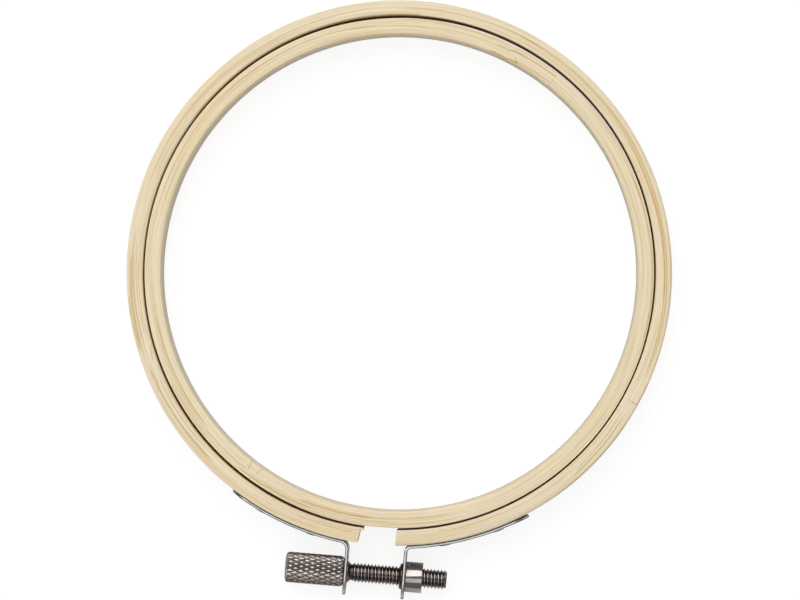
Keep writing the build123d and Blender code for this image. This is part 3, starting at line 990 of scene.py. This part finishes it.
def makeNut(material):
    size = clampNut
    outside = (nutHigh.y - nutLow.y) / 2
    earInner = nutLow.x + size["flangeThickness"]
    earOuter = earInner + size["strapThickness"]
    outline = [(nutLow.x, size["bore"]), (nutLow.x, size["flange"] - size["flangeChamfer"]),
               (nutLow.x + size["flangeChamfer"], size["flange"]), (earInner, size["flange"]),
               (earInner, size["collar"]), (earOuter, size["collar"]), (earOuter, outside),
               (nutHigh.x, outside), (nutHigh.x, size["bore"])]
    mesh = turnedMesh("clampNut", outline, screwY, size["steps"], loop=True)
    mesh.materials.append(material)
    piece = linkObject("clampNut", mesh)
    roundEdges(piece, size["edgeRound"])
    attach(piece, "right_end")
    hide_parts("clamp_nut")


def makeClamp():
    strapMaterial = metalMaterial("strapMetal", strapMetal)
    makeStrap("leftStrap", "left_strap", "hoop", strapMaterial, 0.0)
    makeStrap("rightStrap", "right_strap", "right_end", strapMaterial, straps["lift"])
    tackMaterial = metalMaterial("tackMetal", tackMetal)
    for side, body in (("left", "hoop"), ("right", "right_end")):
        for place in ("near", "far"):
            makeTack(f"{side}{place.title()}Tack", f"{side}_{place}_tack", body, tackMaterial)
    makeScrew(metalMaterial("screwMetal", screwMetal))
    makeNut(metalMaterial("nutMetal", nutMetal))
    print("clamp made")


# Studio: a pale sweep that rises all round, two soft boxes and a dim room
studio = {
    "sweepRadii": (0.0, 0.5, 1.2, 3.2), "sweepRise": 0.36, "sweepSteps": 64,
    "floorColour": 0.8, "shownColour": 0.2, "shownGlow": 0.86,
    "mirrorColour": 0.7, "mirrorGlow": 0.2, "roomStrength": 0.26,
    "softBoxes": [("keySoftBox", (-0.3, 0.86, 1.42), (1.9, 1.46), 22.0),
                  ("fillSoftBox", (0.1, -0.66, 1.55), (1.9, 0.93), 5.6)],
}


def makeStudio():
    flat, rise = studio["sweepRadii"][-1], studio["sweepRise"]
    outline = [(outerLow.z, radius) for radius in studio["sweepRadii"]]
    for turn in range(15, 91, 15):
        angle = math.radians(turn)
        outline.append((outerLow.z + rise * (1 - math.cos(angle)), flat + rise * math.sin(angle)))
    mesh = turnedMesh("sweep", outline, 0.0, studio["sweepSteps"])
    # from a turn about X to a turn about Z
    mesh.transform(Matrix(((0, 1, 0, 0), (0, 0, 1, 0), (1, 0, 0, 0), (0, 0, 0, 1))))
    mesh.shade_smooth()
    sweep = linkObject("sweep", mesh)

    # the camera and the metal see the sweep white, with the hoop's shadow on it; it lights as pale paper does
    material, tree = newMaterial("paleSweep")[:2]
    tree.nodes.clear()
    path = addNode("ShaderNodeLightPath", tree=tree).outputs

    def paper(colour, glow):
        diffuse = addNode("ShaderNodeBsdfDiffuse", {"Color": (colour, colour, colour, 1.0)}, tree)
        light = addNode("ShaderNodeEmission", {"Strength": glow}, tree)
        return addNode("ShaderNodeAddShader", {0: diffuse.outputs[0], 1: light.outputs[0]}).outputs[0]

    shader = paper(studio["floorColour"], 0.0)
    for rayKind, colour, glow in (("Is Glossy Ray", "mirrorColour", "mirrorGlow"),
                                  ("Is Transmission Ray", "shownColour", "shownGlow"),
                                  ("Is Camera Ray", "shownColour", "shownGlow")):
        shown = paper(studio[colour], studio[glow])
        shader = addNode("ShaderNodeMixShader", {0: path[rayKind], 1: shader, 2: shown}).outputs[0]
    addNode("ShaderNodeOutputMaterial", {"Surface": shader})
    mesh.materials.append(material)

    world = bpy.data.worlds.new("room")
    world.use_nodes = True
    feed(world.node_tree.nodes["Background"],
         {"Color": (1.0, 1.0, 1.0, 1.0), "Strength": studio["roomStrength"]})
    scene.world = world

    for name, place, size, power in studio["softBoxes"]:
        lamp = bpy.data.lights.new(name, "AREA")
        lamp.shape = "RECTANGLE"
        lamp.size, lamp.size_y = size
        lamp.energy = power
        softBox = linkObject(name, lamp)
        softBox.location = place
        softBox.rotation_euler = (-Vector(place)).to_track_quat("-Z", "Y").to_euler()


# The camera looks down from just right of the hoop's middle; the hoop lies turned a little clockwise
view = {
    "turn": 4.7, "place": (17.2 * mm, -8.0 * mm), "aim": (0.2 * mm, -5.4 * mm), "heightAbove": 850 * mm,
    "lens": 192.0, "sensor": 36.0, "clip": (0.01, 20.0),
}


def makeCamera():
    turn = math.radians(view["turn"])

    def fromPicture(a, b, height):
        return Matrix.Rotation(turn, 3, "Z") @ Vector((a, b, height))

    place = fromPicture(*view["place"], outerHigh.z + view["heightAbove"])
    back = (place - fromPicture(*view["aim"], outerHigh.z)).normalized()
    right = fromPicture(0.0, 1.0, 0.0).cross(back).normalized()
    data = bpy.data.cameras.new("camera")
    data.lens = view["lens"]
    data.sensor_width = view["sensor"]
    data.clip_start, data.clip_end = view["clip"]
    camera = linkObject("camera", data)
    axes = Matrix((right, back.cross(right), back)).transposed().to_4x4()
    camera.matrix_world = Matrix.Translation(place) @ axes
    scene.camera = camera


makeRings()
makeClamp()
makeStudio()
makeCamera()
print("scene made")
